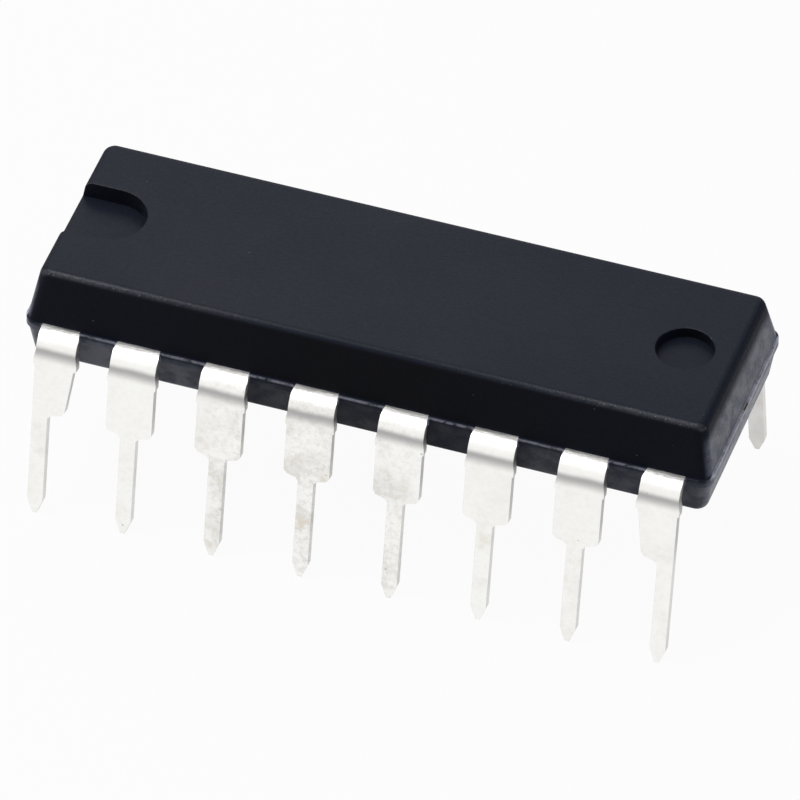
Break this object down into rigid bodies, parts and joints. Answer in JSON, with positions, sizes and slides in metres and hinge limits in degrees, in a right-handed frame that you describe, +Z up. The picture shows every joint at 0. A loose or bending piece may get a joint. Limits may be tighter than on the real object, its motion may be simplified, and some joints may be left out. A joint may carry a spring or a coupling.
{
  "type": "dual in-line integrated circuit",
  "caption": "Moulded plastic integrated circuit package with two parallel rows of formed through-hole leads, a round-ended orientation notch and a round ejector mark.",
  "frame": {"origin": "on the plane of the lead tips, under the middle of the body", "axes": "X runs along the body with the orientation notch at -X, Y crosses the two lead rows with lead 1 at -X, -Y, and Z is up from the lead tips to the top face"},
  "size_m": [0.0196, 0.0092, 0.0072],
  "materials": {
    "body": "matte",
    "lead_frame": "matte tin plating",
    "die_attach": "satin",
    "die": "polished",
    "bond_wires": "polished"
  },
  "bodies": {
    "root": {"body": "body", "die_pad": "lead_frame", "die_attach": "die_attach", "die": "die", "lead_1": "lead_frame", "lead_2": "lead_frame", "lead_3": "lead_frame", "lead_4": "lead_frame", "lead_5": "lead_frame", "lead_6": "lead_frame", "lead_7": "lead_frame", "lead_8": "lead_frame", "lead_9": "lead_frame", "lead_10": "lead_frame", "lead_11": "lead_frame", "lead_12": "lead_frame", "lead_13": "lead_frame", "lead_14": "lead_frame", "lead_15": "lead_frame", "lead_16": "lead_frame", "bond_wire_1": "bond_wires", "bond_wire_2": "bond_wires", "bond_wire_3": "bond_wires", "bond_wire_4": "bond_wires", "bond_wire_5": "bond_wires", "bond_wire_6": "bond_wires", "bond_wire_7": "bond_wires", "bond_wire_8": "bond_wires", "bond_wire_9": "bond_wires", "bond_wire_10": "bond_wires", "bond_wire_11": "bond_wires", "bond_wire_12": "bond_wires", "bond_wire_13": "bond_wires", "bond_wire_14": "bond_wires", "bond_wire_15": "bond_wires", "bond_wire_16": "bond_wires"}
  },
  "joints": []
}
